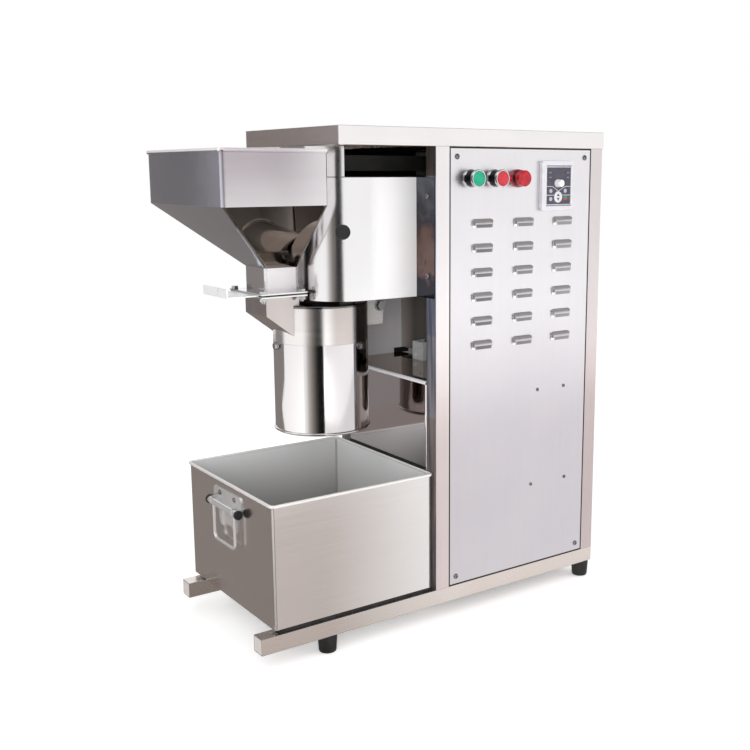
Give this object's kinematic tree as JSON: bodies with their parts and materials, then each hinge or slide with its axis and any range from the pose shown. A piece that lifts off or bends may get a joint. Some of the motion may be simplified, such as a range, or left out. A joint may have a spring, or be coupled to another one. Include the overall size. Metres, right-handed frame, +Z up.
{
  "type": "electric spice grinder",
  "caption": "Floor-standing stainless spice grinder: hopper, slide gate and hammer chamber over a pull-out powder bin, belt driven from a louvred motor cabinet.",
  "frame": {"origin": "middle of the bounding box on the floor under the feet", "axes": "+Z up, -Y out of the cabinet's front panel, -X towards the hopper and bin"},
  "size_m": [0.6792, 0.3226, 0.77],
  "materials": {
    "brushed_stainless": "fine brushed",
    "polished_stainless": "mirror polished",
    "frame_steel": "satin",
    "galvanised_steel": "galvanised",
    "machined_steel": "machined",
    "black_painted_steel": "matt black",
    "cast_iron": "as cast",
    "motor_paint": "painted",
    "black_rubber": "matt",
    "black_plastic": "matt",
    "bezel_chrome": "chrome plated",
    "start_green": "gloss",
    "stop_red": "gloss",
    "lamp_red": "gloss",
    "silver_plastic": "silver painted"
  },
  "bodies": {
    "stand": {"base_frame": "frame_steel", "rail_end_caps": "frame_steel", "feet": "black_rubber", "cabinet_posts": "frame_steel", "top_frame": "frame_steel", "cross_members": "frame_steel", "deck": "brushed_stainless", "front_panel": "brushed_stainless", "panel_screws": "machined_steel", "back_panel": "brushed_stainless", "right_panel": "brushed_stainless", "cable_gland": "black_plastic", "bay_panel": "polished_stainless", "bay_wall": "polished_stainless", "bay_bracket": "galvanised_steel", "spindle_cover": "polished_stainless", "cover_plug": "black_rubber", "belt_housing": "polished_stainless", "belt_tray": "black_painted_steel", "head_plate": "machined_steel", "bearing_housing": "cast_iron", "spindle_bearings": "machined_steel", "chamber_lid": "polished_stainless", "grinding_chamber": "polished_stainless", "grinding_ring": "machined_steel", "screen": "brushed_stainless", "discharge_drum": "polished_stainless", "head_bolts": "machined_steel", "hopper": "brushed_stainless", "gate_guide": "brushed_stainless", "gate_bolts": "machined_steel", "feed_chute": "brushed_stainless", "motor_plate": "galvanised_steel", "motor_housing": "motor_paint", "motor_end_bells": "motor_paint", "fan_cowl": "motor_paint", "terminal_box": "motor_paint", "drive_belt": "black_rubber", "button_bezels": "bezel_chrome", "contact_blocks": "black_plastic", "pilot_lamp": "lamp_red", "keypad_frame": "silver_plastic", "keypad_face": "black_plastic", "inverter": "black_plastic", "bin_runners": "black_rubber"},
    "spindle": {"spindle_shaft": "machined_steel", "spindle_pulley": "cast_iron", "grinding_rotor": "machined_steel", "rotor_nut": "machined_steel"},
    "motor_rotor": {"motor_shaft": "machined_steel", "motor_pulley": "cast_iron", "motor_fan": "black_plastic"},
    "start_cap": {"start_button": "start_green"},
    "stop_cap": {"stop_button": "stop_red"},
    "knob": {"speed_knob": "silver_plastic"},
    "gate": {"slide_gate": "brushed_stainless"},
    "powder_bin": {"bin": "brushed_stainless", "bin_handle": "brushed_stainless", "bail_bumpers": "black_rubber"},
    "bail": {"bin_bail": "brushed_stainless"}
  },
  "joints": [
    {"name": "motor_spin", "type": "hinge", "parent": "stand", "child": "motor_rotor", "pos_m": [0.2224, 0.002, 0.718], "axis": [0, 0, 1], "continuous": true},
    {"name": "spindle_spin", "type": "hinge", "parent": "stand", "child": "spindle", "pos_m": [-0.1218, 0.002, 0.718], "axis": [0, 0, 1], "continuous": true},
    {"name": "start_button_press", "type": "slide", "parent": "stand", "child": "start_cap", "axis": [0, 1, 0], "range_m": [0, 0.004], "stiffness_N_per_m": 400},
    {"name": "stop_button_press", "type": "slide", "parent": "stand", "child": "stop_cap", "axis": [0, 1, 0], "range_m": [0, 0.004], "stiffness_N_per_m": 400},
    {"name": "speed_knob_turn", "type": "hinge", "parent": "stand", "child": "knob", "pos_m": [0.2339, -0.1495, 0.6885], "axis": [0, -1, 0], "range_deg": [-140, 140]},
    {"name": "gate_slide", "type": "slide", "parent": "stand", "child": "gate", "axis": [-1, 0, 0], "range_m": [0, 0.056]},
    {"name": "bin_slide", "type": "slide", "parent": "stand", "child": "powder_bin", "axis": [-1, 0, 0], "range_m": [0, 0.14]},
    {"name": "bail_swing", "type": "hinge", "parent": "powder_bin", "child": "bail", "pos_m": [-0.2906, 0.01175, 0.20745], "axis": [0, 1, 0], "range_deg": [0, 90]}
  ],
  "couplings": [
    {"joint": "spindle_spin", "follows": "motor_spin", "ratio": 1.4839}
  ]
}
